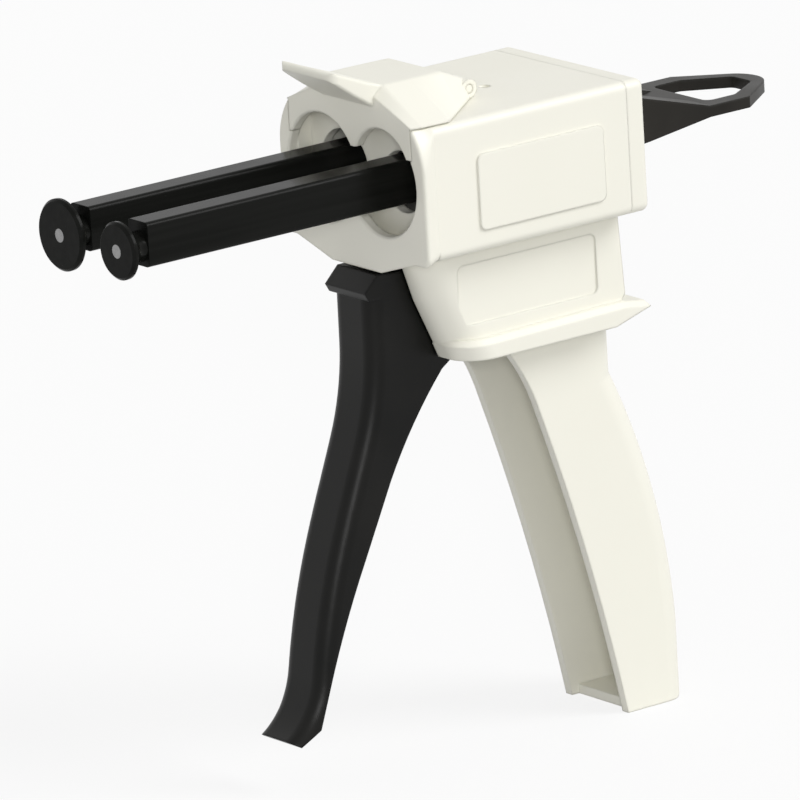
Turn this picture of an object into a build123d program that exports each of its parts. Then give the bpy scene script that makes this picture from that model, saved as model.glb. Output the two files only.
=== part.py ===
"""Hand-held dispenser for two-barrel dental cartridges.

Frame: millimetres, +Z up, the discs point along -X. The origin is the middle of the cartridge seat: X = 0 is
the face that the cartridge flange rests on, Y = 0 the middle plane, Z = 0 the height of the disc centres.
"""
import os
from math import cos, radians, sin

from build123d import *

# Cartridge seat
BARREL_SPACING = 26.0     # centre to centre of the two barrels and the two plungers
LOBE_R = 15.4             # radius of the barrel openings in the housing
LOBE_Z = 1.6              # height of their centres
LOCK_LOBES = ((13.2, 1.2, 15.4), (-13.4, 3.6, 12.6))   # the same in the lock: Y, Z, radius
CUSP_HALF = 3.4           # the cusps between the openings are cut back to this half width
CUSP_REACH = 8.2          # half height of the gap between the cusps
RIM_CHAMFER = 0.5
FLANGE_SLOT = 4.6         # room for the cartridge flange along X
FRONT_WALL = 3.0          # wall and lock ahead of the flange
SEAT_WALL = 3.0           # wall behind the flange
POCKET_CLEAR = 0.7        # radial room around each disc where it passes the seat wall

# Plungers
ROD_W = 9.0
ROD_H = 12.4
ROD_Z = 0.9               # height of the rod axis above the disc centre
ROD_EDGE_R = 1.3
ROD_FIT = 0.2             # gap between a rod and each guide that it runs through
DISC_LARGE_R = 10.0
DISC_SMALL_R = 8.0
DISC_RIM = 1.6            # length of the cylindrical rim
DISC_BEVEL = 0.7
NECK_R = 4.3
NECK_END = 7.4            # disc face to rod front
STUD_R = 1.9              # steel stud that holds a disc to its rod
STUD_L = 16.0
REACH = 96.5              # disc faces ahead of the seat when pushed fully forward
TENON_W = 5.0
TENON_H = 7.0
TENON_L = 11.0

# Box of the housing
BOX_HALF = 30.0
BOX_TOP = 18.0
BOX_BOTTOM = -19.5
BOX_END = 65.0            # the rear cap begins here
WALL = 2.5
COLLAR_END = -1.6         # the front of the box flares out from here
COLLAR_HALF = 33.0
COLLAR_CORNER = 2.8
COLLAR_EDGE_R = 0.8
LONG_EDGE_R = 2.4
PAD_FROM = 12.5           # raised pad on each side
PAD_TO = 56.0
PAD_LOW = -13.4
PAD_HIGH = 8.0
PAD_RISE = 0.6
PAD_CORNER_R = 2.0

# Rear cap
CAP_DEPTH = 6.5
CAP_PLATE = 3.0
CAP_EDGE_R = 2.2
SCREW_Y = 23.2
SCREW_Z_HIGH = 11.4
SCREW_Z_LOW = -12.9
SCREW_R = 1.25
SCREW_L = 14.0
HEAD_R = 2.6
HEAD_H = 1.8
BOSS_R = 3.6
BOSS_L = 16.0

# Lower tier, skirt and handle
TIER_HALF = 20.5
TIER_FRONT_R = 9.0
TIER_LOW = -52.0
THROAT_HALF = 27.0
THROAT_FOOT = 11.0        # half width at its lower end
THROAT_LOW = -24.4
THROAT_OVERLAP = 1.0      # it runs this far up the collar's front
THROAT_DEPTH = 9.0
SKIRT_HALF = 23.5
SKIRT_FRONT_R = 9.0
SKIRT_EDGE = 1.6
PANEL_DEPTH = 0.5         # shallow panel in each side of the tier
GATE_X = 37.0             # moulding mark in the top
GATE_Y = -3.0
GATE_R = 1.6
GATE_DEPTH = 0.8
HANDLE_HALF = 14.0
HANDLE_WALL = 2.7
HANDLE_BACK_WALL = 3.2
HANDLE_BACK_R = 8.0
HANDLE_FOOT_Z = -166.0
HANDLE_FOOT_R = 4.5       # rounded heel
FOOT_PLATE = 2.7          # closes the foot of the channel
FOOT_SETBACK = 2.5        # from the rim to the plate
TIER_WALL = 2.8

# Cartridge lock, a flap over the top half of the flange slot
LOCK_GAP = 0.3            # gap between the lock and the housing
LOCK_SPLIT_Z = 9.6        # lower edge of the lock
LOCK_TOP = 27.8
LOCK_SHOULDER = 12.0      # half width of the flat top
LOCK_SKIN = 2.4
HOOD_HALF = 28.8
HOOD_EDGE_Z = 18.7
HOOD_BEVEL_X = 3.2        # the top edge at the front leans back this far
HOOD_BEVEL_Z = 2.8
HOOD_STRAIGHT_X = 5.0     # behind here the hood grows narrower
HOOD_CREST_X = 15.5       # and behind here it slopes down to the hinge
HOOD_CREST_HALF = 20.0
HOOD_SOFT_R = 2.5
HINGE_X = 25.0
HINGE_R = 2.7             # barrel at the tail of the lock
HINGE_HALF = 12.0
HINGE_PIN_R = 1.25
PIN_FIT = 0.05            # radial running clearance of the hinge pins
KNUCKLE_FROM = 4.0        # the housing's two knuckles, from the middle
KNUCKLE_TO = 7.0
LIP_HALF = 11.8
LIP_TIP_X = -21.6
LIP_CORNER_R = 3.0
LIP_EDGE_R = 0.8

# Trigger
TRIGGER_HALF = 9.0
TRIGGER_GAP = 0.7         # gap to each side of its slot
TRIGGER_WALL = 2.6
TRIGGER_EDGE_R = 4.4      # rounded front edges
PIVOT_X = 24.0
PIVOT_Z = -33.0
PIVOT_R = 2.0
PIVOT_BOSS_R = 6.0
PIVOT_END_WALL = 1.2      # skin over the blind end of the trigger pin
ARM_R = 32.0              # trigger pivot to roller
ARM_REST = 27.0           # degrees behind the vertical
ARM_HALF = 5.6
ARM_THICK = 4.8
FORK_HALF = 2.8
ROLLER_R = 4.0
ROLLER_PIN_R = 1.25
ROLLER_W = 5.0

# Drive and holding plates, springs
PLATE_T = 2.0
PLATE_EDGE = 1.5
PLATE_TOP = 12.0
PLATE_LOW = -15.5
HOLD_LOW = -10.6
HOLD_TONGUE = -12.6
PLATE_EDGE_R = 2.0
PLATE_FIT = 0.6           # gap between a gripping plate and a rod
NOTCH_HALF = 6.4          # the arm swings through this notch in the drive plate
NOTCH_DROP = 2.4          # its top lies this far below the roller's axis
RUN_GAP = 0.3             # gap between pieces of different bodies
GUIDE_X = (8.4, 44.0)     # front faces of the two rod guides
GUIDE_T = 2.4
GUIDE_EDGE = 1.7          # web outside each rod
STOP_T = 2.0              # ribs that the guides stand against
STOP_H = 2.4
RETURN_R = 5.2            # mean radius of the return spring
RETURN_WIRE_R = 0.6
RETURN_TURNS = 6
HOLD_X = 54.0
HOLD_R = 3.6
HOLD_WIRE_R = 0.4
HOLD_TURNS = 4
HOLD_CANT = 4.0           # degrees that the holding plate leans back to grip
LEVER_PIN_X = 57.0
LEVER_PIN_Z = -14.0
LEVER_PIN_R = 1.25
LEVER_BOSS_R = 2.7
LEVER_HALF = 5.5
LEVER_T = 2.2
LEVER_END_X = 82.5
LEVER_PIN_HALF = 10.0
LEVER_SLOT_LOW = -15.7
LEVER_SLOT_HIGH = -10.5
SPRING_Z = 2.0
SPRING_GAP = 0.3

# Pull loop
LOOP_GAP = 0.5            # loop to rear cap when pushed fully forward
LOOP_TAPER_X = 104.0
LOOP_END_X = 134.8
LOOP_END_R = 3.3
LOOP_END_HALF = 7.2
LOOP_WAIST_X = 118.0      # behind here the loop grows narrower
LOOP_LOW = -1.4
LOOP_THICK = 3.2
LOOP_BAR = 5.2            # width of the bars round the hole
LOOP_HOLE_FROM = 107.0
LOOP_HOLE_TIP = 4.2
LOOP_HOLE_R = 2.5
LOOP_PIN_R = 1.0

# Values that follow from those above
ROD_Y = BARREL_SPACING / 2
ARM_OUT = ROD_Y + ROD_W / 2
ARM_IN = ROD_Y - ROD_W / 2
GUIDE_HALF = ARM_OUT + GUIDE_EDGE
PLATE_HALF = ARM_OUT + PLATE_EDGE
FRONT_X = -FRONT_WALL - FLANGE_SLOT
SLOT_FRONT = -FLANGE_SLOT
CAP_END = BOX_END + CAP_DEPTH
CAVITY_HALF = BOX_HALF - WALL
CAVITY_TOP = BOX_TOP - WALL
CAVITY_LOW = BOX_BOTTOM + WALL
LOCK_HALF = CAVITY_HALF - LOCK_GAP
HOOD_LOW = BOX_TOP + LOCK_GAP
HINGE_Z = HOOD_LOW + HINGE_R
ROD_FRONT = -REACH + NECK_END
ROD_BACK = CAP_END + LOOP_GAP
SLOT_HALF = TRIGGER_HALF + TRIGGER_GAP
CHANNEL_HALF = HANDLE_HALF - HANDLE_WALL
ROLLER_X = PIVOT_X + ARM_R * sin(radians(ARM_REST))
ROLLER_Z = PIVOT_Z + ARM_R * cos(radians(ARM_REST))
DRIVE_X = ROLLER_X - ROLLER_R - RUN_GAP - PLATE_T
PLUNGERS = (("large", ROD_Y, DISC_LARGE_R), ("small", -ROD_Y, DISC_SMALL_R))

os.makedirs("parts", exist_ok=True)


def save(piece, name):
    """Label a finished piece and write its STEP file."""
    piece.part.label = name
    export_step(piece.part, f"parts/{name}.step")


def rod_section(gap=0.0):
    """Both rod sections, grown by a gap, on the sketch plane that is open."""
    with Locations((-ROD_Y, ROD_Z), (ROD_Y, ROD_Z)):
        RectangleRounded(ROD_W + 2 * gap, ROD_H + 2 * gap, ROD_EDGE_R + gap)


def disc_holes(radius_gap):
    """A round hole per disc, with the rod section, on the sketch plane that is open."""
    for _, y, disc_r in PLUNGERS:
        with Locations((y, 0)):
            Circle(disc_r + radius_gap)
    rod_section(radius_gap)


def cross_pin(radius, half_from, half_to, x, z):
    """A plain pin along Y between two heights, as a finished piece."""
    with BuildPart() as pin:
        with BuildSketch(Plane.XZ.offset(-half_to)):
            with Locations((x, z)):
                Circle(radius)
        extrude(amount=half_to - half_from)
        chamfer(pin.edges().filter_by(GeomType.CIRCLE), radius / 6)
    return pin


def barrel_openings():
    """The figure of eight that the two barrels pass through."""
    with Locations((-ROD_Y, LOBE_Z), (ROD_Y, LOBE_Z)):
        Circle(LOBE_R)
    with Locations((0, LOBE_Z)):
        RectangleRounded(2 * CUSP_HALF + 2 * CUSP_REACH, 2 * CUSP_REACH, CUSP_HALF)


# Handle: a channel, open to the front, with a rounded back
HANDLE_RIM = ((28.0, -50.0), (36.6, -61.8), (41.6, -73.5), (55.5, -118.0), (66.9, HANDLE_FOOT_Z))
HANDLE_BACK = ((89.3, HANDLE_FOOT_Z), (89.3, -143.0), (82.7, -101.5), (70.2, -68.0), (70.2, -50.0))


def handle_outline(back_shift=0.0):
    """Side outline of the handle; back_shift moves the back forward."""
    with BuildLine() as line:
        ThreePointArc(*HANDLE_RIM[:3])
        ThreePointArc(*HANDLE_RIM[2:])
        back = [(x - back_shift, z) for x, z in HANDLE_BACK]
        Line(HANDLE_RIM[-1], back[0])
        Line(back[0], back[1])
        ThreePointArc(back[1], back[2], back[3])
        Line(back[3], back[4])
        Line(back[4], HANDLE_RIM[0])
    make_face(line.edges())


with BuildPart() as handle:
    with BuildSketch(Plane.XZ):
        handle_outline()
    extrude(amount=HANDLE_HALF, both=True)
    back_edges = handle.edges().filter_by(
        lambda e: abs(abs(e.center().Y) - HANDLE_HALF) < 0.01
        and e.center().X > HANDLE_BACK[-1][0] - 0.5
        and e.center().Z > HANDLE_FOOT_Z + 1
    )
    fillet(back_edges, HANDLE_BACK_R)
    with BuildSketch(Plane.XZ):
        with Locations((HANDLE_BACK[0][0] - HANDLE_FOOT_R, HANDLE_FOOT_Z + HANDLE_FOOT_R)):
            Rectangle(HANDLE_FOOT_R + 1, HANDLE_FOOT_R + 1, align=(Align.MIN, Align.MAX))
            Circle(HANDLE_FOOT_R, mode=Mode.SUBTRACT)
    extrude(amount=HANDLE_HALF, both=True, mode=Mode.SUBTRACT)

with BuildPart() as handle_channel:
    with BuildSketch(Plane.XZ):
        handle_outline(HANDLE_BACK_WALL)
    extrude(amount=CHANNEL_HALF, both=True)
    with BuildSketch(Plane.XZ):
        with Locations((HANDLE_RIM[-1][0] + FOOT_SETBACK, HANDLE_FOOT_Z)):
            Rectangle(HANDLE_BACK[0][0] - HANDLE_RIM[-1][0], FOOT_PLATE, align=Align.MIN)
    extrude(amount=CHANNEL_HALF, both=True, mode=Mode.SUBTRACT)

# Hood of the cartridge lock: crosses the front of the box and slopes down to the hinge behind.
# Each section: X, half width and height of the side edges, half width and height of the top.
HOOD_SECTIONS = (
    (FRONT_X, HOOD_HALF - 1.2, HOOD_EDGE_Z - 0.1, LOCK_SHOULDER, LOCK_TOP - HOOD_BEVEL_Z),
    (FRONT_X + HOOD_BEVEL_X, HOOD_HALF - 0.4, HOOD_EDGE_Z, LOCK_SHOULDER, LOCK_TOP),
    (HOOD_STRAIGHT_X, HOOD_HALF, HOOD_EDGE_Z, LOCK_SHOULDER, LOCK_TOP),
    (HOOD_CREST_X, HOOD_CREST_HALF, HOOD_EDGE_Z, LOCK_SHOULDER, LOCK_TOP),
    (HINGE_X, HINGE_HALF, HOOD_EDGE_Z, HINGE_HALF - 1.5, HINGE_Z + HINGE_R),
)
with BuildPart() as hood:
    for x, edge_half, edge_z, top_half, top_z in HOOD_SECTIONS:
        with BuildSketch(Plane.YZ.offset(x)):
            Polygon(
                (-edge_half, HOOD_LOW), (-edge_half, edge_z), (-top_half, top_z),
                (top_half, top_z), (edge_half, edge_z), (edge_half, HOOD_LOW), align=None,
            )
    loft(ruled=True)
    long_edges = hood.edges().filter_by(
        lambda e: abs(abs(e.center().Y) - LOCK_SHOULDER) < 0.8 and e.center().Z > LOCK_TOP - HOOD_BEVEL_Z
    )
    ridge = hood.edges().filter_by(
        lambda e: abs(e.center().X - FRONT_X - HOOD_BEVEL_X) < 0.01 and e.center().Z > HOOD_EDGE_Z + 1
    )
    fillet(long_edges + ridge, HOOD_SOFT_R)

# Collar: the front of the box, which flares out on both sides. Each section: X, half width, lower edge,
# height where the side begins to turn in, a point on that turn, and half width of the top.
COLLAR_SECTIONS = (
    (FRONT_X, COLLAR_HALF, BOX_BOTTOM - 0.5, 2.5, (31.3, 12.2), 27.8),
    (COLLAR_END, BOX_HALF, BOX_BOTTOM, BOX_TOP - LONG_EDGE_R, (29.3, 17.3), BOX_HALF - LONG_EDGE_R),
)
with BuildPart() as collar:
    for x, half, low, turn_z, (mid_y, mid_z), top_half in COLLAR_SECTIONS:
        with BuildSketch(Plane.YZ.offset(x)):
            with BuildLine():
                Line((COLLAR_CORNER - half, low), (half - COLLAR_CORNER, low))
                for side in (-1, 1):
                    ThreePointArc(
                        (side * (half - COLLAR_CORNER), low),
                        (side * (half - 0.3 * COLLAR_CORNER), low + 0.3 * COLLAR_CORNER),
                        (side * half, low + COLLAR_CORNER),
                    )
                    Line((side * half, low + COLLAR_CORNER), (side * half, turn_z))
                    ThreePointArc((side * half, turn_z), (side * mid_y, mid_z), (side * top_half, BOX_TOP))
                Line((-top_half, BOX_TOP), (top_half, BOX_TOP))
            make_face()
    loft(ruled=True)
    fillet(collar.edges().group_by(Axis.X)[0], COLLAR_EDGE_R)

# Lower tier: carries the trigger pivot, its front slopes back beside the trigger
with BuildPart() as tier:
    with BuildSketch(Plane.XZ):
        with BuildLine():
            Polyline(
                (0.2, BOX_BOTTOM + WALL), (0.2, THROAT_LOW), (3.5, -34.5), (9.5, -47.8),
                (12.0, TIER_LOW), (62.4, TIER_LOW), (68.4, -44.0), (67.0, BOX_BOTTOM), (BOX_END, BOX_BOTTOM),
                (BOX_END, BOX_BOTTOM + WALL), close=True,
            )
        make_face()
    extrude(amount=TIER_HALF, both=True)
    front_edges = tier.edges().filter_by(
        lambda e: abs(abs(e.center().Y) - TIER_HALF) < 0.01
        and e.center().X < 8
        and e.center().Z < BOX_BOTTOM
    )
    fillet(front_edges, TIER_FRONT_R)
    # throat: the lower edge of the collar narrows down to the trigger slot
    with BuildSketch(Plane.YZ.offset(FRONT_X)):
        with BuildLine():
            Polyline(
                (-THROAT_HALF, BOX_BOTTOM), (-THROAT_HALF, BOX_BOTTOM + THROAT_OVERLAP),
                (THROAT_HALF, BOX_BOTTOM + THROAT_OVERLAP), (THROAT_HALF, BOX_BOTTOM),
            )
            for side in (-1, 1):
                ThreePointArc(
                    (side * THROAT_HALF, BOX_BOTTOM), (side * 18.0, -22.2), (side * THROAT_FOOT, THROAT_LOW)
                )
            Line((-THROAT_FOOT, THROAT_LOW), (THROAT_FOOT, THROAT_LOW))
        make_face()
    extrude(amount=THROAT_DEPTH)

# Skirt: a thin ledge that runs round the foot of the tier and stands out at the rear
with BuildPart() as skirt:
    with BuildSketch(Plane.XZ):
        with BuildLine():
            Polyline(
                (8.6, -46.4), (11.0, TIER_LOW), (62.5, TIER_LOW), (74.9, -48.4), (73.6, -46.6), (66.0, -45.6),
                close=True,
            )
        make_face()
    extrude(amount=SKIRT_HALF, both=True)
    side_edges = skirt.edges().filter_by(lambda e: abs(abs(e.center().Y) - SKIRT_HALF) < 0.01)
    fillet(side_edges.group_by(Axis.X)[0], SKIRT_FRONT_R)
    side_edges = skirt.edges().filter_by(lambda e: abs(abs(e.center().Y) - SKIRT_HALF) < 0.01)
    chamfer(side_edges.filter_by(lambda e: e.center().Z > -47.0), SKIRT_EDGE)

with BuildPart() as body:
    with BuildSketch(Plane.YZ.offset(COLLAR_END)):
        with Locations((0, (BOX_TOP + BOX_BOTTOM) / 2)):
            Rectangle(2 * BOX_HALF, BOX_TOP - BOX_BOTTOM)
    extrude(amount=BOX_END - COLLAR_END)
    fillet(body.edges().filter_by(Axis.X), LONG_EDGE_R)
    add(collar.part)
    # raised pads on both sides
    with BuildSketch(Plane.XZ):
        with Locations(((PAD_FROM + PAD_TO) / 2, (PAD_LOW + PAD_HIGH) / 2)):
            RectangleRounded(PAD_TO - PAD_FROM, PAD_HIGH - PAD_LOW, PAD_CORNER_R)
    extrude(amount=BOX_HALF + PAD_RISE, both=True)
    add(tier.part)
    add(skirt.part)
    add(handle.part)
    # inside of the box, behind the seat wall
    with BuildSketch(Plane.YZ.offset(SEAT_WALL)):
        with Locations((0, (CAVITY_TOP + CAVITY_LOW) / 2)):
            RectangleRounded(2 * CAVITY_HALF, CAVITY_TOP - CAVITY_LOW, 1.0)
    extrude(amount=BOX_END - SEAT_WALL + 1, mode=Mode.SUBTRACT)
    # flange slot, open at the top
    with BuildSketch(Plane.YZ.offset(SLOT_FRONT)):
        with Locations((0, (BOX_TOP + 1 + CAVITY_LOW) / 2)):
            Rectangle(2 * CAVITY_HALF, BOX_TOP + 1 - CAVITY_LOW)
    extrude(amount=FLANGE_SLOT, mode=Mode.SUBTRACT)
    # front wall: barrel openings, and the whole upper half, which the lock fills
    with BuildSketch(Plane.YZ.offset(FRONT_X)):
        barrel_openings()
        with Locations((0, (LOCK_SPLIT_Z - LOCK_GAP + BOX_TOP + 1) / 2)):
            Rectangle(2 * CAVITY_HALF, BOX_TOP + 1 - LOCK_SPLIT_Z + LOCK_GAP)
    extrude(amount=FRONT_WALL, mode=Mode.SUBTRACT)
    rim = body.edges().group_by(Axis.X)[0].filter_by(
        lambda e: abs(e.center().Y) < BOX_HALF - 2 and BOX_BOTTOM + 2 < e.center().Z < LOCK_SPLIT_Z - 1
    )
    chamfer(rim.filter_by(GeomType.CIRCLE), RIM_CHAMFER)
    # seat wall: each disc passes its own round hole
    with BuildSketch(Plane.YZ):
        disc_holes(POCKET_CLEAR)
    extrude(amount=SEAT_WALL, mode=Mode.SUBTRACT)
    # trigger slot through the tier, and the way in for the arm
    with BuildSketch(Plane.XZ):
        with BuildLine():
            Polyline(
                (FRONT_X - 1, -24.8), (FRONT_X - 1, TIER_LOW - 5), (52.0, TIER_LOW - 5), (58.0, -44.0),
                (50.0, CAVITY_LOW + 1), (9.0, CAVITY_LOW + 1), (3.0, -23.2), close=True,
            )
        make_face()
    extrude(amount=SLOT_HALF, both=True, mode=Mode.SUBTRACT)
    add(handle_channel.part, mode=Mode.SUBTRACT)
    # hollow of the tier on both sides of the slot, and the trigger pin's bosses in it
    with BuildSketch(Plane.XZ):
        with BuildLine():
            Polyline(
                (9.0, -22.3), (13.5, -40.0), (18.0, TIER_LOW + TIER_WALL), (60.0, TIER_LOW + TIER_WALL),
                (64.5, -43.0), (64.5, -22.3), close=True,
            )
        make_face()
    extrude(amount=TIER_HALF - TIER_WALL, both=True, mode=Mode.SUBTRACT)
    for side in (-1, 1):
        with BuildSketch(Plane.XZ.offset(side * SLOT_HALF)):
            with Locations((PIVOT_X, PIVOT_Z)):
                Circle(PIVOT_BOSS_R)
        extrude(amount=side * (TIER_HALF - TIER_WALL - SLOT_HALF))
    # shallow panels in the tier's sides
    for side in (-1, 1):
        with BuildSketch(Plane.XZ.offset(side * TIER_HALF)):
            with Locations((35.0, -33.5)):
                RectangleRounded(48.0, 17.0, 2.0)
        extrude(amount=-side * PANEL_DEPTH, mode=Mode.SUBTRACT)
    # stop ribs ahead of the two rod guides
    for x in GUIDE_X:
        with BuildSketch(Plane.YZ.offset(x - STOP_T)):
            for z in (CAVITY_TOP - STOP_H / 2, CAVITY_LOW + STOP_H / 2):
                with Locations((-(GUIDE_HALF + SLOT_HALF) / 2, z), ((GUIDE_HALF + SLOT_HALF) / 2, z)):
                    Rectangle(GUIDE_HALF - SLOT_HALF, STOP_H)
        extrude(amount=STOP_T)
    # bosses for the cap screws
    with BuildSketch(Plane.YZ.offset(BOX_END - BOSS_L)):
        for z, wall_z in ((SCREW_Z_HIGH, CAVITY_TOP + 1), (SCREW_Z_LOW, CAVITY_LOW - 1)):
            with Locations((-SCREW_Y, z), (SCREW_Y, z)):
                Circle(BOSS_R)
            for side in (-1, 1):
                with Locations((side * (SCREW_Y + CAVITY_HALF + 1) / 2, (z + wall_z) / 2)):
                    Rectangle(CAVITY_HALF + 1 - SCREW_Y, abs(wall_z - z))
    extrude(amount=BOSS_L)
    with BuildSketch(Plane.YZ.offset(BOX_END)):
        for z in (SCREW_Z_HIGH, SCREW_Z_LOW):
            with Locations((-SCREW_Y, z), (SCREW_Y, z)):
                Circle(SCREW_R)
    extrude(amount=-SCREW_L, mode=Mode.SUBTRACT)
    # the two knuckles of the lock's hinge
    for side in (-1, 1):
        with BuildSketch(Plane.XZ.offset(side * KNUCKLE_FROM)):
            with Locations((HINGE_X + HINGE_R / 2, (HINGE_Z + BOX_TOP - 1) / 2)):
                Rectangle(HINGE_R, HINGE_Z - BOX_TOP + 1)
            with Locations((HINGE_X, HINGE_Z)):
                Circle(HINGE_R)
                Circle(HINGE_PIN_R, mode=Mode.SUBTRACT)
        extrude(amount=side * (KNUCKLE_TO - KNUCKLE_FROM))
    # bosses that carry the pin of the holding plate
    for side in (-1, 1):
        with BuildSketch(Plane.XZ.offset(side * (LEVER_HALF + RUN_GAP))):
            with Locations((LEVER_PIN_X, LEVER_PIN_Z)):
                Circle(LEVER_BOSS_R)
            with Locations((LEVER_PIN_X, (LEVER_PIN_Z + CAVITY_LOW - 1) / 2)):
                Rectangle(2 * LEVER_BOSS_R, LEVER_PIN_Z - CAVITY_LOW + 1)
            with Locations((LEVER_PIN_X, LEVER_PIN_Z)):
                Circle(LEVER_PIN_R, mode=Mode.SUBTRACT)
        extrude(amount=side * (LEVER_PIN_HALF - LEVER_HALF - RUN_GAP))
    # moulding mark in the top
    with BuildSketch(Plane.XY.offset(BOX_TOP)):
        with Locations((GATE_X, GATE_Y)):
            Circle(GATE_R)
    extrude(amount=-GATE_DEPTH, mode=Mode.SUBTRACT)
    # bore for the trigger pin, blind on the near side
    with BuildSketch(Plane.XZ.offset(TIER_HALF - PIVOT_END_WALL)):
        with Locations((PIVOT_X, PIVOT_Z)):
            Circle(PIVOT_R)
    extrude(amount=-2 * TIER_HALF, mode=Mode.SUBTRACT)
save(body, "body")

# Rear cap, held by four screws
with BuildPart() as rear_cap:
    with BuildSketch(Plane.YZ.offset(BOX_END)):
        with Locations((0, (BOX_TOP + BOX_BOTTOM) / 2)):
            Rectangle(2 * BOX_HALF, BOX_TOP - BOX_BOTTOM)
    extrude(amount=CAP_DEPTH)
    fillet(rear_cap.edges().filter_by(Axis.X), LONG_EDGE_R)
    fillet(rear_cap.edges().group_by(Axis.X)[-1], CAP_EDGE_R)
    with BuildSketch(Plane.YZ.offset(BOX_END)):
        with Locations((0, (CAVITY_TOP + CAVITY_LOW) / 2)):
            RectangleRounded(2 * CAVITY_HALF, CAVITY_TOP - CAVITY_LOW, 1.0)
        for z in (SCREW_Z_HIGH, SCREW_Z_LOW):
            with Locations((-SCREW_Y, z), (SCREW_Y, z)):
                Circle(BOSS_R, mode=Mode.SUBTRACT)
    extrude(amount=CAP_DEPTH - CAP_PLATE, mode=Mode.SUBTRACT)
    with BuildSketch(Plane.YZ.offset(BOX_END)):
        rod_section(ROD_FIT)
        with Locations((0, (LEVER_SLOT_LOW + LEVER_SLOT_HIGH) / 2)):
            Rectangle(2 * (LEVER_HALF + RUN_GAP), LEVER_SLOT_HIGH - LEVER_SLOT_LOW)
        for z in (SCREW_Z_HIGH, SCREW_Z_LOW):
            with Locations((-SCREW_Y, z), (SCREW_Y, z)):
                Circle(SCREW_R)
    extrude(amount=CAP_DEPTH, mode=Mode.SUBTRACT)
    with BuildSketch(Plane.YZ.offset(CAP_END)):
        for z in (SCREW_Z_HIGH, SCREW_Z_LOW):
            with Locations((-SCREW_Y, z), (SCREW_Y, z)):
                Circle(HEAD_R)
    extrude(amount=-HEAD_H, mode=Mode.SUBTRACT)
save(rear_cap, "rear_cap")

with BuildPart() as cap_screws:
    with BuildSketch(Plane.YZ.offset(CAP_END - HEAD_H)):
        for z in (SCREW_Z_HIGH, SCREW_Z_LOW):
            with Locations((-SCREW_Y, z), (SCREW_Y, z)):
                Circle(HEAD_R)
    extrude(amount=HEAD_H - 0.2)
    with BuildSketch(Plane.YZ.offset(CAP_END - HEAD_H)):
        for z in (SCREW_Z_HIGH, SCREW_Z_LOW):
            with Locations((-SCREW_Y, z), (SCREW_Y, z)):
                Circle(SCREW_R)
    extrude(amount=-SCREW_L)
    # cross recess in each head
    with BuildSketch(Plane.YZ.offset(CAP_END - 0.2)):
        for z in (SCREW_Z_HIGH, SCREW_Z_LOW):
            with Locations((-SCREW_Y, z), (SCREW_Y, z)):
                Rectangle(1.2 * HEAD_R, 0.25 * HEAD_R)
                Rectangle(0.25 * HEAD_R, 1.2 * HEAD_R)
    extrude(amount=-HEAD_H / 2, mode=Mode.SUBTRACT)
save(cap_screws, "cap_screws")

# Cartridge lock: hood, front plate with the upper half of the barrel openings, and the thumb lip
with BuildPart() as lip:
    with BuildSketch(Plane.XZ):
        with BuildLine():
            ThreePointArc((-3.6, LOCK_TOP - 0.2), (-12.6, 30.9), (-19.6, 33.7))
            ThreePointArc((-19.6, 33.7), (-21.2, 33.4), (LIP_TIP_X, 32.0))
            ThreePointArc((LIP_TIP_X, 32.0), (-14.8, 26.9), (FRONT_X + 0.6, 21.9))
            Polyline((FRONT_X + 0.6, 21.9), (-3.6, 21.9), (-3.6, LOCK_TOP - 0.2))
        make_face()
    extrude(amount=LIP_HALF, both=True)
    tip_edges = lip.edges().filter_by(
        lambda e: abs(abs(e.center().Y) - LIP_HALF) < 0.01 and e.center().X < -5
    )
    fillet(tip_edges, LIP_EDGE_R)
    with BuildSketch(Plane.XY.offset(HOOD_LOW)):
        with Locations((0, 0)):
            RectangleRounded(-2 * LIP_TIP_X, 2 * LIP_HALF, LIP_CORNER_R)
    extrude(amount=20.0, mode=Mode.INTERSECT)

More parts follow.
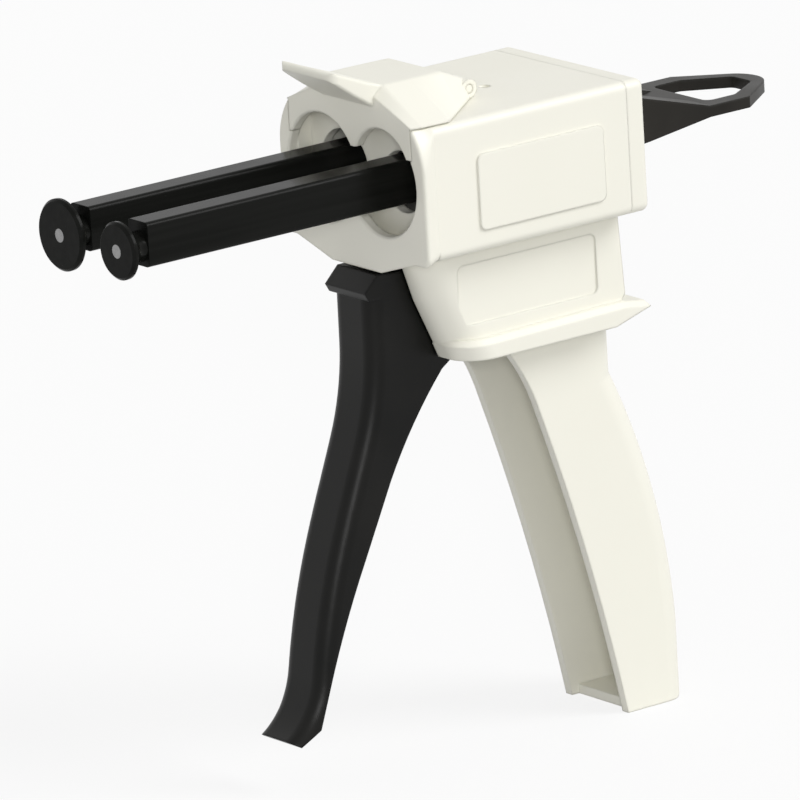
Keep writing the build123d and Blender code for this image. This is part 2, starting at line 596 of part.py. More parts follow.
with BuildPart() as cartridge_lock:
    add(hood.part)
    with BuildSketch(Plane.XZ):
        with Locations((HINGE_X, HINGE_Z)):
            Circle(HINGE_R)
    extrude(amount=HINGE_HALF, both=True)
    add(lip.part)
    # room for the cartridge flange under the hood
    with BuildSketch(Plane.YZ.offset(SLOT_FRONT)):
        Polygon(
            (-LOCK_HALF + LOCK_SKIN, HOOD_LOW - 1), (-LOCK_SHOULDER, LOCK_TOP - 2 * LOCK_SKIN),
            (LOCK_SHOULDER, LOCK_TOP - 2 * LOCK_SKIN), (LOCK_HALF - LOCK_SKIN, HOOD_LOW - 1), align=None,
        )
    extrude(amount=FLANGE_SLOT, mode=Mode.SUBTRACT)
    with BuildSketch(Plane.YZ.offset(FRONT_X)):
        with Locations((0, (LOCK_SPLIT_Z + HOOD_LOW + 0.2) / 2)):
            Rectangle(2 * LOCK_HALF, HOOD_LOW + 0.2 - LOCK_SPLIT_Z)
    extrude(amount=FRONT_WALL)
    with BuildSketch(Plane.YZ.offset(FRONT_X)):
        for y, z, radius in LOCK_LOBES:
            with Locations((y, z)):
                Circle(radius)
    extrude(amount=FRONT_WALL, mode=Mode.SUBTRACT)
    rim = cartridge_lock.edges().filter_by(GeomType.CIRCLE).filter_by(
        lambda e: abs(e.center().X - FRONT_X) < 0.01
    )
    chamfer(rim, RIM_CHAMFER)
    # gaps for the housing's knuckles, and the bore for the hinge pin
    for side in (-1, 1):
        with BuildSketch(Plane.XZ.offset(side * (KNUCKLE_FROM - LOCK_GAP))):
            with Locations((HINGE_X, HINGE_Z)):
                Circle(HINGE_R + LOCK_GAP)
        extrude(amount=side * (KNUCKLE_TO - KNUCKLE_FROM + 2 * LOCK_GAP), mode=Mode.SUBTRACT)
    with BuildSketch(Plane.XZ):
        with Locations((HINGE_X, HINGE_Z)):
            Circle(HINGE_PIN_R + PIN_FIT)
    extrude(amount=HINGE_HALF, both=True, mode=Mode.SUBTRACT)
save(cartridge_lock, "cartridge_lock")

lock_pin = cross_pin(HINGE_PIN_R, -HINGE_HALF, HINGE_HALF, HINGE_X, HINGE_Z)
save(lock_pin, "lock_pin")

# Trigger: blade, pivot boss and the forked arm that carries the roller
with BuildPart() as trigger:
    with BuildSketch(Plane.XZ):
        with BuildLine():
            top = Line((-10.5, -28.5), (-10.7, -46.0))
            knee = TangentArc((-10.7, -46.0), (-15.6, -72.0), tangent=top % 1)
            shank = Spline(
                (-15.6, -72.0), (-27.8, -105.0), (-34.7, -135.0), tangents=[knee % 1, (-0.15, -0.99)]
            )
            TangentArc((-34.7, -135.0), (-45.0, -150.4), tangent=shank % 1)
            Polyline((-45.0, -150.4), (-42.4, -152.0), (-35.6, -148.4), (-30.8, -135.1))
            ThreePointArc((-30.8, -135.1), (-25.2, -121.0), (-17.2, -104.1))
            Line((-17.2, -104.1), (-7.0, -83.6))
            ThreePointArc((-7.0, -83.6), (1.6, -69.6), (12.6, -55.9))
            Polyline(
                (12.6, -55.9), (15.2, -54.2), (29.2, -36.0), (24.0, -27.0), (10.0, -26.4), (-7.6, -25.4),
                (-10.5, -28.5),
            )
        make_face()
    extrude(amount=TRIGGER_HALF, both=True)
    finger_edges = trigger.edges().filter_by(
        lambda e: abs(abs(e.center().Y) - TRIGGER_HALF) < 0.01
        and -148 < e.center().Z < -30
        and e.center().X < 19.5 + 0.39 * e.center().Z
    )
    fillet(finger_edges, TRIGGER_EDGE_R)
    # brow that stands out over the finger's place
    with BuildSketch(Plane.XZ):
        Polygon((-7.6, -25.4), (-12.2, -29.9), (-10.9, -32.2), (-5.0, -32.2), (-5.0, -25.4), align=None)
    extrude(amount=TRIGGER_HALF, both=True)
    with BuildSketch(Plane.XZ):
        Polygon((-3.5, -62.0), (-14.0, -89.0), (-18.5, -100.0), (0.0, -100.0), (25.0, -62.0), align=None)
    extrude(amount=TRIGGER_HALF - TRIGGER_WALL, both=True, mode=Mode.SUBTRACT)
    with BuildSketch(Plane.XZ):
        with Locations((PIVOT_X, PIVOT_Z)):
            Circle(PIVOT_BOSS_R)
    extrude(amount=TRIGGER_HALF, both=True)
    with BuildSketch(Plane.XZ):
        with Locations(((PIVOT_X + ROLLER_X) / 2, (PIVOT_Z + ROLLER_Z) / 2)):
            SlotCenterToCenter(ARM_R, ARM_THICK, rotation=90 - ARM_REST)
    extrude(amount=ARM_HALF, both=True)
    with BuildSketch(Plane.XZ):
        with Locations((ROLLER_X, ROLLER_Z)):
            SlotCenterToCenter(2 * ROLLER_R, 2 * ROLLER_R + 1, rotation=90 - ARM_REST)
    extrude(amount=FORK_HALF, both=True, mode=Mode.SUBTRACT)
    with BuildSketch(Plane.XZ):
        with Locations((ROLLER_X, ROLLER_Z)):
            Circle(ROLLER_PIN_R)
    extrude(amount=ARM_HALF, both=True, mode=Mode.SUBTRACT)
    with BuildSketch(Plane.XZ):
        with Locations((PIVOT_X, PIVOT_Z)):
            Circle(PIVOT_R + PIN_FIT)
    extrude(amount=TRIGGER_HALF, both=True, mode=Mode.SUBTRACT)
save(trigger, "trigger")

trigger_pin = cross_pin(PIVOT_R, -TIER_HALF + PIVOT_END_WALL, TIER_HALF, PIVOT_X, PIVOT_Z)
save(trigger_pin, "trigger_pin")

with BuildPart() as trigger_roller:
    with BuildSketch(Plane.XZ):
        with Locations((ROLLER_X, ROLLER_Z)):
            Circle(ROLLER_R)
            Circle(ROLLER_PIN_R + PIN_FIT, mode=Mode.SUBTRACT)
    extrude(amount=ROLLER_W / 2, both=True)
save(trigger_roller, "trigger_roller")

roller_pin = cross_pin(ROLLER_PIN_R, -ARM_HALF, ARM_HALF, ROLLER_X, ROLLER_Z)
save(roller_pin, "roller_pin")

# Two rod guides across the inside of the housing
for guide_x, name in zip(GUIDE_X, ("front_guide", "rear_guide")):
    with BuildPart() as guide:
        with BuildSketch(Plane.YZ.offset(guide_x)):
            with Locations((0, (CAVITY_TOP + CAVITY_LOW) / 2)):
                Rectangle(2 * GUIDE_HALF, CAVITY_TOP - CAVITY_LOW)
        extrude(amount=GUIDE_T)
        with BuildSketch(Plane.YZ.offset(guide_x)):
            rod_section(ROD_FIT)
        extrude(amount=GUIDE_T, mode=Mode.SUBTRACT)
    save(guide, name)

with BuildPart() as drive_plate:
    with BuildSketch(Plane.YZ.offset(DRIVE_X)):
        with Locations((0, (PLATE_TOP + PLATE_LOW) / 2)):
            RectangleRounded(2 * PLATE_HALF, PLATE_TOP - PLATE_LOW, PLATE_EDGE_R)
    extrude(amount=PLATE_T)
    with BuildSketch(Plane.YZ.offset(DRIVE_X)):
        rod_section(PLATE_FIT)
        with Locations((0, (ROLLER_Z - NOTCH_DROP + PLATE_LOW - 1) / 2)):
            Rectangle(2 * NOTCH_HALF, ROLLER_Z - NOTCH_DROP - PLATE_LOW + 1)
    extrude(amount=PLATE_T, mode=Mode.SUBTRACT)
save(drive_plate, "drive_plate")

# Holding plate, drawn upright and then leant back about its pin
with BuildPart() as upright_plate:
    with BuildSketch(Plane.YZ.offset(HOLD_X)):
        with Locations((0, (PLATE_TOP + HOLD_LOW) / 2)):
            RectangleRounded(2 * PLATE_HALF, PLATE_TOP - HOLD_LOW, PLATE_EDGE_R)
        with Locations((0, (HOLD_LOW + 1 + HOLD_TONGUE) / 2)):
            Rectangle(2 * LEVER_HALF - 2, HOLD_LOW + 1 - HOLD_TONGUE)
    extrude(amount=PLATE_T)
    with BuildSketch(Plane.YZ.offset(HOLD_X)):
        rod_section(PLATE_FIT)
    extrude(amount=PLATE_T, mode=Mode.SUBTRACT)

LEVER_AXIS = Axis((LEVER_PIN_X, 0, LEVER_PIN_Z), (0, 1, 0))
with BuildPart() as hold_plate:
    add(upright_plate.part.rotate(LEVER_AXIS, HOLD_CANT))
save(hold_plate, "hold_plate")

# Cradle of the release lever: grips the tongue of the holding plate and turns on the pin
with BuildPart() as cradle:
    with BuildSketch(Plane.XZ):
        with Locations((HOLD_X + PLATE_T / 2, HOLD_TONGUE)):
            Rectangle(PLATE_T + 3.2, 2 * (HOLD_LOW - HOLD_TONGUE) - 0.6)
    extrude(amount=LEVER_HALF, both=True)
    with BuildSketch(Plane.YZ.offset(HOLD_X)):
        with Locations((0, HOLD_TONGUE + 2)):
            Rectangle(2 * LEVER_HALF - 2, 4.0)
    extrude(amount=PLATE_T, mode=Mode.SUBTRACT)

with BuildPart() as release_lever:
    add(cradle.part.rotate(LEVER_AXIS, HOLD_CANT))
    with BuildSketch(Plane.XZ):
        with Locations((LEVER_PIN_X, LEVER_PIN_Z)):
            Circle(LEVER_BOSS_R - RUN_GAP)
        with Locations(((LEVER_PIN_X + LEVER_END_X) / 2, LEVER_PIN_Z)):
            Rectangle(LEVER_END_X - LEVER_PIN_X, LEVER_T)
    extrude(amount=LEVER_HALF, both=True)
    fillet(release_lever.edges().filter_by(Axis.Z).group_by(Axis.X)[-1], LEVER_HALF / 2)
    add(hold_plate.part, mode=Mode.SUBTRACT)
    with BuildSketch(Plane.XZ):
        with Locations((LEVER_PIN_X, LEVER_PIN_Z)):
            Circle(LEVER_PIN_R + PIN_FIT)
    extrude(amount=LEVER_HALF, both=True, mode=Mode.SUBTRACT)
save(release_lever, "release_lever")

release_pin = cross_pin(LEVER_PIN_R, -LEVER_PIN_HALF, LEVER_PIN_HALF, LEVER_PIN_X, LEVER_PIN_Z)
save(release_pin, "release_pin")


def coil_spring(name, x_from, x_to, radius, wire_r, turns):
    """A plain compression spring along X."""
    length = x_to - x_from - 2 * wire_r
    with BuildPart() as spring:
        with BuildLine() as path:
            Helix(
                pitch=length / turns, height=length, radius=radius,
                center=(x_from + wire_r, 0, SPRING_Z), direction=(1, 0, 0),
            )
        with BuildSketch(Plane(origin=path.line @ 0, z_dir=path.line % 0)):
            Circle(wire_r)
        sweep(path=path.line)
    gap = length / turns - 2 * wire_r
    print(f"{name}: gap between turns {gap:.2f} mm")
    save(spring, name)


RETURN_FROM = GUIDE_X[0] + GUIDE_T + SPRING_GAP
HOLD_FROM = GUIDE_X[1] + GUIDE_T + SPRING_GAP
coil_spring("return_spring", RETURN_FROM, DRIVE_X - SPRING_GAP, RETURN_R, RETURN_WIRE_R, RETURN_TURNS)
coil_spring("hold_spring", HOLD_FROM, HOLD_X + RUN_GAP, HOLD_R, HOLD_WIRE_R, HOLD_TURNS)

# Plungers
for size, y, disc_r in PLUNGERS:
    with BuildPart() as rod:
        with BuildSketch(Plane.YZ.offset(ROD_FRONT)):
            with Locations((y, ROD_Z)):
                RectangleRounded(ROD_W, ROD_H, ROD_EDGE_R)
        extrude(amount=ROD_BACK - ROD_FRONT)
        with BuildSketch(Plane.YZ.offset(ROD_BACK)):
            with Locations((y, ROD_Z)):
                Rectangle(TENON_W, TENON_H)
        extrude(amount=TENON_L)
        with BuildSketch(Plane.XY):
            with Locations((ROD_BACK + TENON_L / 2, y)):
                Circle(LOOP_PIN_R)
        extrude(amount=ROD_H, both=True, mode=Mode.SUBTRACT)
        with BuildSketch(Plane.YZ.offset(ROD_FRONT)):
            with Locations((y, 0)):
                Circle(STUD_R)
        extrude(amount=STUD_L - NECK_END, mode=Mode.SUBTRACT)
    save(rod, f"rod_{size}")

    with BuildPart() as disc:
        with BuildSketch(Plane.XZ.offset(-y)):
            with BuildLine():
                Polyline(
                    (-REACH, STUD_R), (-REACH, disc_r - DISC_BEVEL), (-REACH + DISC_BEVEL, disc_r),
                    (-REACH + DISC_RIM, disc_r),
                )
                ThreePointArc(
                    (-REACH + DISC_RIM, disc_r),
                    (-REACH + 3.4, NECK_R + 0.32 * (disc_r - NECK_R)),
                    (ROD_FRONT, NECK_R),
                )
                Polyline((ROD_FRONT, NECK_R), (ROD_FRONT, STUD_R), (-REACH, STUD_R))
            make_face()
        revolve(axis=Axis((0, y, 0), (1, 0, 0)))
    save(disc, f"disc_{size}")

    with BuildPart() as stud:
        with BuildSketch(Plane.YZ.offset(-REACH)):
            with Locations((y, 0)):
                Circle(STUD_R)
        extrude(amount=STUD_L)
    save(stud, f"disc_stud_{size}")

# Pull loop: two arms that run on from the rods into a flat ring for a finger
LOOP_HIGH = LOOP_LOW + LOOP_THICK
with BuildPart() as pull_loop:
    with BuildSketch(Plane.XZ):
        Polygon(
            (ROD_BACK, -5.0), (ROD_BACK, 8.6), (ROD_BACK + 8, 8.6), (LOOP_TAPER_X, LOOP_HIGH),
            (LOOP_END_X, LOOP_HIGH), (LOOP_END_X, LOOP_LOW), (LOOP_TAPER_X, LOOP_LOW), (ROD_BACK + 10, -4.2),
            align=None,
        )
    extrude(amount=ARM_OUT, both=True)
    with BuildSketch(Plane.XZ):
        Polygon(
            (ROD_BACK - 1, -10.0), (ROD_BACK - 1, 12.0), (LOOP_TAPER_X, 12.0), (LOOP_TAPER_X, LOOP_HIGH),
            (ROD_BACK + 14, LOOP_HIGH), (ROD_BACK + 14, LOOP_LOW), (LOOP_TAPER_X, LOOP_LOW),
            (LOOP_TAPER_X, -10.0), align=None,
        )
    extrude(amount=ARM_IN, both=True, mode=Mode.SUBTRACT)
    with BuildSketch(Plane.XY):
        with BuildLine():
            Polyline(
                (LOOP_TAPER_X + 1, ARM_OUT), (ROD_BACK, ARM_OUT), (ROD_BACK, -ARM_OUT),
                (LOOP_TAPER_X + 1, -ARM_OUT),
            )
            Polyline(
                (LOOP_TAPER_X + 1, -ARM_OUT), (LOOP_WAIST_X, -ARM_OUT),
                (LOOP_END_X - LOOP_END_R, -LOOP_END_HALF),
            )
            ThreePointArc(
                (LOOP_END_X - LOOP_END_R, -LOOP_END_HALF),
                (LOOP_END_X, 0),
                (LOOP_END_X - LOOP_END_R, LOOP_END_HALF),
            )
            Polyline(
                (LOOP_END_X - LOOP_END_R, LOOP_END_HALF), (LOOP_WAIST_X, ARM_OUT), (LOOP_TAPER_X + 1, ARM_OUT)
            )
        make_face()
    extrude(amount=30.0, both=True, mode=Mode.INTERSECT)
    with BuildSketch(Plane.XY.offset(LOOP_LOW)) as hole:
        Polygon(
            (LOOP_HOLE_FROM, LOOP_BAR - ARM_OUT), (LOOP_WAIST_X - 1, LOOP_BAR - ARM_OUT),
            (LOOP_END_X - LOOP_BAR, -LOOP_HOLE_TIP), (LOOP_END_X - LOOP_BAR, LOOP_HOLE_TIP),
            (LOOP_WAIST_X - 1, ARM_OUT - LOOP_BAR), (LOOP_HOLE_FROM, ARM_OUT - LOOP_BAR), align=None,
        )
        fillet(hole.vertices(), LOOP_HOLE_R)
    extrude(amount=LOOP_THICK, mode=Mode.SUBTRACT)
    for _, y, _ in PLUNGERS:
        with BuildSketch(Plane.YZ.offset(ROD_BACK)):
            with Locations((y, ROD_Z)):
                Rectangle(TENON_W, TENON_H)
        extrude(amount=TENON_L, mode=Mode.SUBTRACT)
        with BuildSketch(Plane.XY):
            with Locations((ROD_BACK + TENON_L / 2, y)):
                Circle(LOOP_PIN_R)
        extrude(amount=ROD_H, both=True, mode=Mode.SUBTRACT)
save(pull_loop, "pull_loop")

with BuildPart() as loop_pins:
    with BuildSketch(Plane.XY.offset(-4.4)):
        with Locations((ROD_BACK + TENON_L / 2, -ROD_Y), (ROD_BACK + TENON_L / 2, ROD_Y)):
            Circle(LOOP_PIN_R)
    extrude(amount=12.8)
save(loop_pins, "loop_pins")
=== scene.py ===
"""Looks, light and camera for the two-barrel dispensing tool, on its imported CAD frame."""
from math import cos, pi, radians, sin

import bpy
from mathutils import Matrix, Vector


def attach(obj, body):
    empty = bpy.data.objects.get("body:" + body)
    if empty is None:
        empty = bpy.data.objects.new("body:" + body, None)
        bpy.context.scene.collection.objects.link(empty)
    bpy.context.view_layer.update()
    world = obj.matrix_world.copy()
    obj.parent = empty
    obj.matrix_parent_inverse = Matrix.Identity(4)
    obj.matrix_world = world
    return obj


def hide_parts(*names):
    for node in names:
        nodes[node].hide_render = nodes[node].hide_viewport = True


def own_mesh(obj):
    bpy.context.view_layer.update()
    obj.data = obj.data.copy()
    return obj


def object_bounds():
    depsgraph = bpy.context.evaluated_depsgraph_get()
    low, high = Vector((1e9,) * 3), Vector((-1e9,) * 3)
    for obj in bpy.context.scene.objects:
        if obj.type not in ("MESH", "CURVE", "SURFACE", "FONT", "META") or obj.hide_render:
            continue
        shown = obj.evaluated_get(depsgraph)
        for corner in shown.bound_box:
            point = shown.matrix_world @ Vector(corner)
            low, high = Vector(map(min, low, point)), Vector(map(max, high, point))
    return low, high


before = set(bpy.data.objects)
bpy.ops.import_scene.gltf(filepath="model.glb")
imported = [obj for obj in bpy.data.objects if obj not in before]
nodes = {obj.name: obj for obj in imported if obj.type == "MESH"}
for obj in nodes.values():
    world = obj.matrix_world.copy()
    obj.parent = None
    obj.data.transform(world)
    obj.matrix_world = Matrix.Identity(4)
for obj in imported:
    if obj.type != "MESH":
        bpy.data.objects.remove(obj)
cad_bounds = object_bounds()

# Camera, fitted to the photograph: degrees, metres, and millimetres for lens and sensor
CAMERA_AZIMUTH = -36.69
CAMERA_ELEVATION = 15.29
CAMERA_ROLL = 3.34
CAMERA_DISTANCE = 3.0
CAMERA_TARGET = Vector((0.00431, 0.0, -0.06473))
CAMERA_LENS = 492.75
CAMERA_SENSOR = 36.0
CAMERA_REACH = 50.0

# Light: levels are for a white surface that faces it, angles in degrees
WORLD_LEVEL = 0.5
KEY_TOWARDS = Vector((0.50, -0.58, 0.64))
KEY_LEVEL = 0.56
KEY_ANGLE = 32.0
FILL_TOWARDS = Vector((-0.55, -0.75, 0.25))
FILL_LEVEL = 0.26
FILL_ANGLE = 10.0
WHITE_LEVEL = 1.0

# Floor: half its width in metres, how light it is to the tool, and how it shows to the camera
FLOOR_HALF = 6.0
FLOOR_COLOUR = 0.6
FLOOR_MOTTLE = 0.98
FLOOR_SHOWN_COLOUR = 0.9
FLOOR_WHITE_SHARE = 0.82

# Linear colours, the darker and the lighter tone of each material
WHITE = (1.0, 1.0, 1.0)
IVORY_TONES = ((0.835, 0.822, 0.728), (0.866, 0.852, 0.762))
ROD_TONES = ((0.0065, 0.0068, 0.0060), (0.0105, 0.0108, 0.0098))
TRIGGER_TONES = ((0.002, 0.0021, 0.0017), (0.006, 0.0057, 0.0048))
LOOP_TONES = ((0.012, 0.011, 0.009), (0.021, 0.019, 0.016))
BEARING_TONES = ((0.16, 0.16, 0.15), (0.24, 0.24, 0.22))
DRAWN_STEEL = (0.56, 0.56, 0.55)
PLATE_STEEL = (0.50, 0.50, 0.49)
SPRING_STEEL = (0.46, 0.45, 0.43)
STUD_METAL = (0.30, 0.30, 0.30)
STEEL_DARKER = 0.8

# How steel's lines run: the axis with a small number is the one they run along
LINES_ALONG_Y = (1.0, 0.05, 1.0)
LINES_ALONG_Z = (1.0, 1.0, 0.06)
LINES_ALONG_X = (0.05, 1.0, 1.0)
NO_LINES = (1.0, 1.0, 1.0)

# The span of a noise that a roughness or a colour usually covers
NOISE_LOW = 0.3
NOISE_HIGH = 0.7
BEVEL_SAMPLES = 4


class Nodes:
    """A short way to write a material's node tree."""

    def __init__(self, name):
        self.material = bpy.data.materials.new(name)
        self.material.use_nodes = True
        self.tree = self.material.node_tree
        self.shader = self.tree.nodes["Principled BSDF"]
        self.place = self.add("ShaderNodeTexCoord").outputs["Object"]

    def add(self, kind, **values):
        node = self.tree.nodes.new(kind)
        for key, value in values.items():
            setattr(node, key, value)
        return node

    def link(self, source, target):
        self.tree.links.new(source, target)

    def noise(self, scale, detail=3.0, stretch=NO_LINES):
        """Noise in the object's own place, stretched along an axis where asked."""
        mapping = self.add("ShaderNodeMapping")
        mapping.inputs["Scale"].default_value = stretch
        noise = self.add("ShaderNodeTexNoise")
        noise.inputs["Scale"].default_value = scale
        noise.inputs["Detail"].default_value = detail
        self.link(self.place, mapping.inputs["Vector"])
        self.link(mapping.outputs["Vector"], noise.inputs["Vector"])
        return noise.outputs["Fac"]

    def colours(self, factor, tones, low=NOISE_LOW, high=NOISE_HIGH):
        """The base colour runs from the darker to the lighter tone, as the factor goes from low to high."""
        ramp = self.add("ShaderNodeValToRGB")
        for element, position, tone in zip(ramp.color_ramp.elements, (low, high), tones):
            element.position = position
            element.color = (*tone, 1.0)
        self.link(factor, ramp.inputs["Fac"])
        self.link(ramp.outputs["Color"], self.shader.inputs["Base Color"])

    def roughness(self, factor, smoothest, roughest):
        span = self.add("ShaderNodeMapRange")
        span.inputs["From Min"].default_value = NOISE_LOW
        span.inputs["From Max"].default_value = NOISE_HIGH
        span.inputs["To Min"].default_value = smoothest
        span.inputs["To Max"].default_value = roughest
        self.link(factor, span.inputs["Value"])
        self.link(span.outputs["Result"], self.shader.inputs["Roughness"])

    def soften_edges(self, radius):
        """Rounds the look of the edges, with a radius in metres."""
        bevel = self.add("ShaderNodeBevel", samples=BEVEL_SAMPLES)
        bevel.inputs["Radius"].default_value = radius
        self.link(bevel.outputs["Normal"], self.shader.inputs["Normal"])

    def bump(self, height, strength, depth):
        """Surface texture, with a depth in metres, over what the normal has already."""
        normal = self.shader.inputs["Normal"].links[0].from_socket
        bump = self.add("ShaderNodeBump")
        bump.inputs["Strength"].default_value = strength
        bump.inputs["Distance"].default_value = depth
        self.link(height, bump.inputs["Height"])
        self.link(normal, bump.inputs["Normal"])
        self.link(bump.outputs["Normal"], self.shader.inputs["Normal"])

    def specular(self, level):
        self.shader.inputs["Specular IOR Level"].default_value = level


def moulded_ivory(name):
    """Warm white moulded plastic with a fine satin texture and faint flow marks."""
    n = Nodes(name)
    flow = n.noise(scale=14.0, detail=2.0, stretch=(1.0, 1.0, 0.35))
    grain = n.noise(scale=2600.0, detail=2.0)
    n.colours(flow, IVORY_TONES)
    n.roughness(n.noise(scale=60.0), 0.36, 0.46)
    n.soften_edges(0.0009)
    n.bump(grain, strength=0.10, depth=0.00005)
    n.bump(flow, strength=0.04, depth=0.0006)
    n.specular(0.42)
    return n.material


def gloss_black(name):
    """Black glossy plastic of the rods and discs, with fine lines drawn along the rods."""
    n = Nodes(name)
    lines = n.noise(scale=420.0, detail=2.0, stretch=(0.03, 1.0, 1.0))
    n.colours(lines, ROD_TONES, low=0.35, high=0.75)
    n.roughness(n.noise(scale=90.0), 0.13, 0.24)
    n.soften_edges(0.0004)
    n.bump(lines, strength=0.07, depth=0.00005)
    n.specular(0.05)
    return n.material


def satin_black(name, tones, smoothest, roughest, specular):
    """Black moulded plastic with a satin grain."""
    n = Nodes(name)
    cloud = n.noise(scale=35.0)
    grain = n.noise(scale=2100.0, detail=2.0)
    n.colours(cloud, tones, low=0.35)
    n.roughness(cloud, smoothest, roughest)
    n.soften_edges(0.0009)
    n.bump(grain, strength=0.14, depth=0.00006)
    n.bump(n.noise(scale=120.0), strength=0.05, depth=0.0003)
    n.specular(specular)
    return n.material


def steel(name, colour, stretch):
    """Plain steel with fine drawn or turned lines."""
    n = Nodes(name)
    lines = n.noise(scale=900.0, stretch=stretch)
    darker = tuple(STEEL_DARKER * c for c in colour)
    n.colours(lines, (darker, colour))
    n.roughness(lines, 0.24, 0.4)
    n.soften_edges(0.0002)
    n.bump(lines, strength=0.12, depth=0.00004)
    n.shader.inputs["Metallic"].default_value = 1.0
    return n.material


def grey_bearing(name):
    """Self-lubricating grey plastic of the guides and the roller."""
    n = Nodes(name)
    specks = n.noise(scale=700.0, detail=4.0)
    n.colours(specks, BEARING_TONES, low=0.35, high=0.75)
    n.roughness(n.noise(scale=80.0), 0.45, 0.6)
    n.soften_edges(0.0003)
    n.bump(specks, strength=0.08, depth=0.00005)
    return n.material


ivory = moulded_ivory("ivory_plastic")
rod_black = gloss_black("rod_black")
trigger_black = satin_black("trigger_black", TRIGGER_TONES, 0.32, 0.40, specular=0.18)
loop_black = satin_black("loop_black", LOOP_TONES, 0.34, 0.46, specular=0.14)
drawn_steel = steel("drawn_steel", DRAWN_STEEL, LINES_ALONG_Y)
plate_steel = steel("plate_steel", PLATE_STEEL, LINES_ALONG_Z)
spring_steel = steel("spring_steel", SPRING_STEEL, NO_LINES)
stud_metal = steel("stud_metal", STUD_METAL, LINES_ALONG_X)
bearing = grey_bearing("bearing_plastic")

FINISH = {
    ivory: ("body", "rear_cap", "cartridge_lock", "lock_pin"),
    rod_black: ("rod_large", "rod_small", "disc_large", "disc_small"),
    trigger_black: ("trigger", "release_lever"),
    loop_black: ("pull_loop",),
    stud_metal: ("disc_stud_large", "disc_stud_small"),
    drawn_steel: ("loop_pins", "trigger_pin", "roller_pin", "release_pin"),
    plate_steel: ("drive_plate", "hold_plate"),
    spring_steel: ("cap_screws", "return_spring", "hold_spring"),
    bearing: ("front_guide", "rear_guide", "trigger_roller"),
}
for material, names in FINISH.items():
    for name in names:
        for slot in nodes[name].material_slots:
            slot.material = material


def place(name, data):
    """A new object in the scene, at the origin."""
    piece = bpy.data.objects.new(name, data)
    bpy.context.scene.collection.objects.link(piece)
    return piece


def compressing_spring(name):
    """Stands for a coil whose rear end moves with a plate: a copy of it in spring steel, fixed to the
    housing, takes the part's place.
    """
    mesh = nodes[name].data.copy()
    mesh.materials.clear()
    mesh.materials.append(spring_steel)
    coil = place(name + "_coil", mesh)
    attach(coil, "housing")
    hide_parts(name)
    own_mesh(coil)


def sun(name, towards, level, angle):
    """A soft distant light; level is how bright it makes a white surface that faces it."""
    data = bpy.data.lights.new(name, "SUN")
    data.energy = level * pi
    data.angle = radians(angle)
    lamp = place(name, data)
    lamp.rotation_euler = towards.to_track_quat("Z", "Y").to_euler()


def background_switch(tree):
    """1 for rays that should see the white background: from the camera, off gloss and through glass."""
    path = tree.nodes.new("ShaderNodeLightPath")
    factor = path.outputs["Is Camera Ray"]
    for output in ("Is Glossy Ray", "Is Transmission Ray"):
        largest = tree.nodes.new("ShaderNodeMath")
        largest.operation = "MAXIMUM"
        tree.links.new(factor, largest.inputs[0])
        tree.links.new(path.outputs[output], largest.inputs[1])
        factor = largest.outputs["Value"]
    return factor


def mix(tree, factor, first, second):
    """A shader between the first, where factor is 0, and the second, where it is 1."""
    node = tree.nodes.new("ShaderNodeMixShader")
    if isinstance(factor, float):
        node.inputs["Fac"].default_value = factor
    else:
        tree.links.new(factor, node.inputs["Fac"])
    tree.links.new(first, node.inputs[1])
    tree.links.new(second, node.inputs[2])
    return node.outputs["Shader"]


def glow(tree, node, level):
    """White light from a background or emission node."""
    node.inputs["Color"].default_value = (*WHITE, 1.0)
    node.inputs["Strength"].default_value = level
    return node.outputs[0]


def make_world():
    """An even soft light for the tool, in front of a white background."""
    world = bpy.data.worlds.new("studio")
    world.use_nodes = True
    tree = world.node_tree
    ambient = glow(tree, tree.nodes["Background"], WORLD_LEVEL)
    white = glow(tree, tree.nodes.new("ShaderNodeBackground"), WHITE_LEVEL)
    shown = mix(tree, background_switch(tree), ambient, white)
    tree.links.new(shown, tree.nodes["World Output"].inputs["Surface"])
    bpy.context.scene.world = world


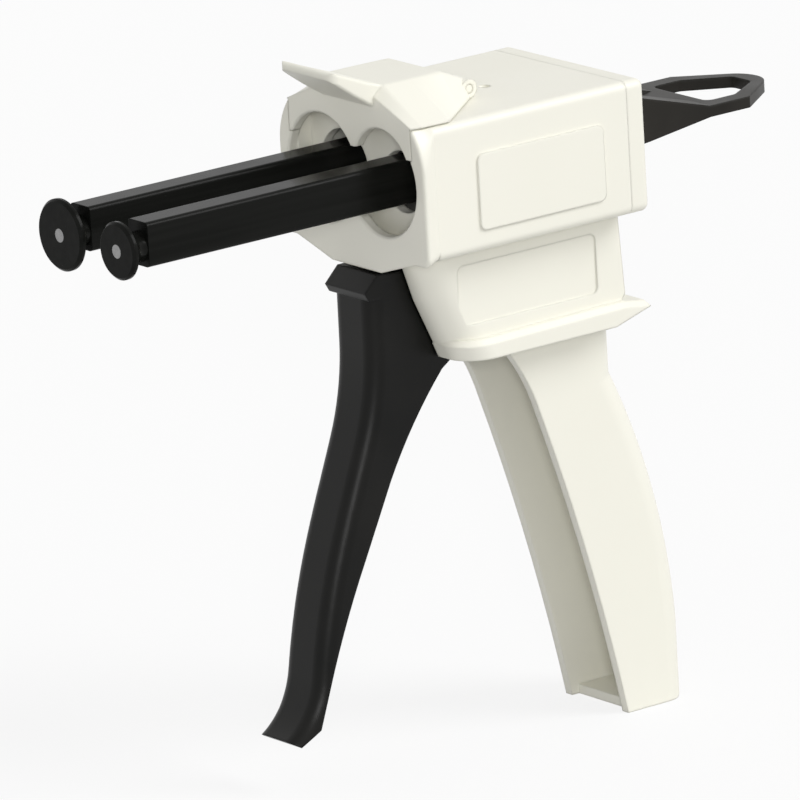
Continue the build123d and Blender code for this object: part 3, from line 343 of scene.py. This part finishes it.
def floor_material():
    """Pale to the tool, and nearly white to the camera, with a faint shadow left on it."""
    n = Nodes("pale_floor")
    n.colours(n.noise(scale=3.0), ((FLOOR_MOTTLE * FLOOR_COLOUR,) * 3, (FLOOR_COLOUR,) * 3))
    n.shader.inputs["Roughness"].default_value = 0.9
    n.specular(0.0)
    shadowed = n.add("ShaderNodeBsdfDiffuse")
    shadowed.inputs["Color"].default_value = (*(FLOOR_SHOWN_COLOUR,) * 3, 1.0)
    white = glow(n.tree, n.add("ShaderNodeEmission"), WHITE_LEVEL)
    shown = mix(n.tree, FLOOR_WHITE_SHARE, shadowed.outputs["BSDF"], white)
    surface = mix(n.tree, background_switch(n.tree), n.shader.outputs["BSDF"], shown)
    n.link(surface, n.tree.nodes["Material Output"].inputs["Surface"])
    return n.material


def make_floor():
    """A wide floor under the handle's foot."""
    height = cad_bounds[0][2]
    half = FLOOR_HALF
    mesh = bpy.data.meshes.new("floor")
    corners = [(-half, -half, height), (half, -half, height), (half, half, height), (-half, half, height)]
    mesh.from_pydata(corners, [], [(0, 1, 2, 3)])
    mesh.materials.append(floor_material())
    floor = place("floor", mesh)


def make_camera():
    """Looks at the target from the photograph's side, with its slight roll."""
    a, e, r = (radians(v) for v in (CAMERA_AZIMUTH, CAMERA_ELEVATION, CAMERA_ROLL))
    back = Vector((sin(a) * cos(e), -cos(a) * cos(e), sin(e)))
    level = Vector((cos(a), sin(a), 0.0))
    upright = level.cross(-back)
    right = level * cos(r) - upright * sin(r)
    up = level * sin(r) + upright * cos(r)
    turn = Matrix((right, up, back)).transposed().to_4x4()
    data = bpy.data.cameras.new("camera")
    data.lens = CAMERA_LENS
    data.sensor_width = CAMERA_SENSOR
    data.clip_end = CAMERA_REACH
    camera = place("camera", data)
    camera.matrix_world = Matrix.Translation(CAMERA_TARGET + CAMERA_DISTANCE * back) @ turn
    bpy.context.scene.camera = camera


compressing_spring("return_spring")
compressing_spring("hold_spring")
make_world()
make_floor()
make_camera()
sun("key", KEY_TOWARDS, KEY_LEVEL, KEY_ANGLE)
sun("fill", FILL_TOWARDS, FILL_LEVEL, FILL_ANGLE)
bpy.context.scene.view_settings.view_transform = "Standard"
